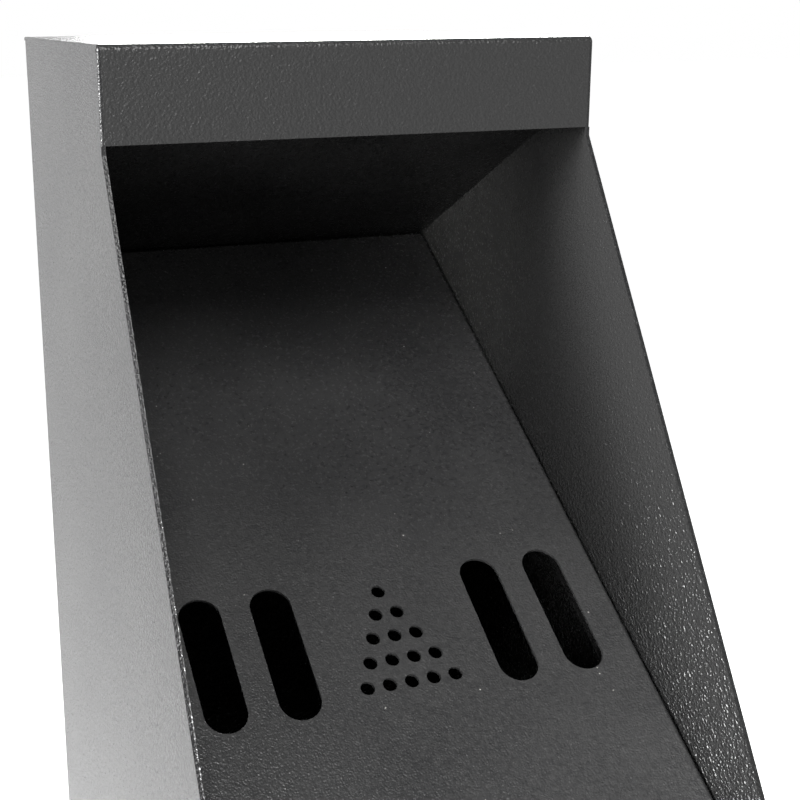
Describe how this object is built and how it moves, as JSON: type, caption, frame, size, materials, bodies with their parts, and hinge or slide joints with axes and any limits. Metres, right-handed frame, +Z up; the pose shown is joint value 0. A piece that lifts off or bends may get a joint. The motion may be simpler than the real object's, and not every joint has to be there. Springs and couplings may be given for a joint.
{
  "type": "ashtray bin",
  "caption": "Free-standing folded steel ashtray bin with a hooded recess, a slotted and drilled stubbing plate, and a locked front door over a lift-out galvanised liner.",
  "frame": {"origin": "on the floor, under the middle of the body's width and depth", "axes": "+Z up, the door and the recess face -Y, +X is the user's right when facing the bin"},
  "size_m": [0.249, 0.409, 0.9],
  "materials": {
    "shell_powder_coat": "fine textured charcoal powder coat on sheet steel",
    "recess_powder_coat": "fine textured charcoal powder coat, inside the recess",
    "plate_powder_coat": "fine textured charcoal powder coat on the stubbing plate",
    "inner_powder_coat": "thin charcoal powder coat on inner frame pieces",
    "door_powder_coat": "fine textured charcoal powder coat on the door",
    "stainless": "satin stainless steel",
    "zinc_plate": "clear zinc plating",
    "rivet_aluminium": "plain aluminium",
    "lock_chrome": "dull chrome plating",
    "black_rubber": "moulded matt rubber",
    "galvanised": "hot-dip galvanised sheet with a fine spangle",
    "zinc_wire": "galvanised round wire"
  },
  "bodies": {
    "root": {"body_shell": "shell_powder_coat", "hood": "shell_powder_coat", "hood_ceiling": "recess_powder_coat", "stub_plate": "plate_powder_coat", "left_plate_ledge": "inner_powder_coat", "right_plate_ledge": "inner_powder_coat", "header_rail": "inner_powder_coat", "left_jamb": "inner_powder_coat", "right_jamb": "inner_powder_coat", "plinth_rail": "shell_powder_coat", "base_plate": "inner_powder_coat", "liner_shelf": "inner_powder_coat", "left_shelf_bracket": "inner_powder_coat", "right_shelf_bracket": "inner_powder_coat", "plate_screws": "stainless", "plate_nuts": "zinc_plate", "lower_hinge_frame_leaf": "stainless", "upper_hinge_frame_leaf": "stainless", "lower_hinge_pin": "stainless", "upper_hinge_pin": "stainless", "hinge_frame_rivets": "rivet_aluminium", "door_buffers": "black_rubber", "floor_pads": "black_rubber"},
    "door": {"door_panel": "door_powder_coat", "door_stiffener": "inner_powder_coat", "lower_hinge_door_leaf": "stainless", "upper_hinge_door_leaf": "stainless", "hinge_door_rivets": "rivet_aluminium", "lock_housing": "lock_chrome", "lock_nut": "zinc_plate"},
    "lock": {"lock_plug": "lock_chrome", "lock_cam": "zinc_plate", "cam_screw": "zinc_plate"},
    "liner": {"liner": "galvanised", "bail_ears": "galvanised"},
    "bail": {"bail_handle": "zinc_wire"}
  },
  "joints": [
    {"name": "door_hinge", "type": "hinge", "parent": "root", "child": "door", "pos_m": [0.1245, -0.182, 0.29], "axis": [0, 0, 1], "range_deg": [0, 110]},
    {"name": "lock_turn", "type": "hinge", "parent": "door", "child": "lock", "pos_m": [-0.085, -0.19, 0.3], "axis": [0, -1, 0], "range_deg": [0, 90]},
    {"name": "liner_lift", "type": "slide", "parent": "root", "child": "liner", "axis": [0, 0, 1], "range_m": [0, 0.016]},
    {"name": "bail_swing", "type": "hinge", "parent": "liner", "child": "bail", "pos_m": [0, 0, 0.3903], "axis": [-1, 0, 0], "range_deg": [0, 168]}
  ]
}
